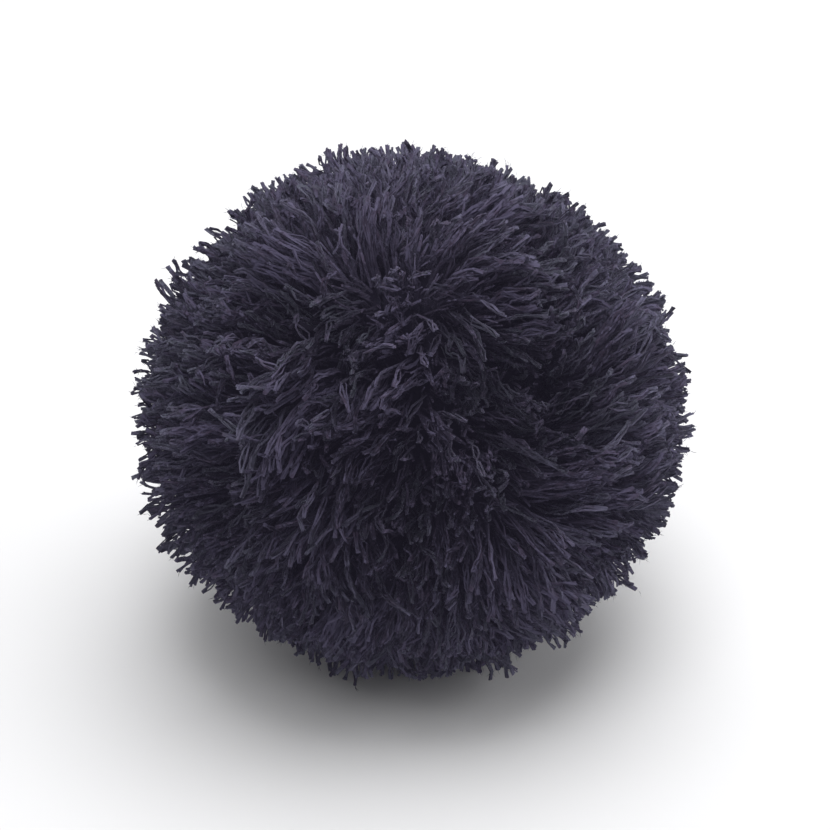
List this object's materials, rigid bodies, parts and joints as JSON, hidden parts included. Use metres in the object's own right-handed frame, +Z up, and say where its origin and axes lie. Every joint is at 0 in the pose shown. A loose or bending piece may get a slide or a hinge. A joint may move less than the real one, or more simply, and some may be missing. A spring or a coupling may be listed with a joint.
{
  "type": "yarn pom pom",
  "caption": "Round pom pom of dense cut yarn, trimmed to a ball, resting on a small level spot of its own ends.",
  "frame": {"origin": "on the surface the pom pom rests on, under the middle of its box", "axes": "+Z up, away from the surface it rests on; +X and +Y level, and the ball looks much the same from every bearing"},
  "size_m": [0.097, 0.0984, 0.0913],
  "materials": {
    "yarn": "soft matt charcoal yarn with a slight blue-violet cast, cut ends outward"
  },
  "bodies": {
    "root": {"pom_pom": "yarn"}
  },
  "joints": []
}
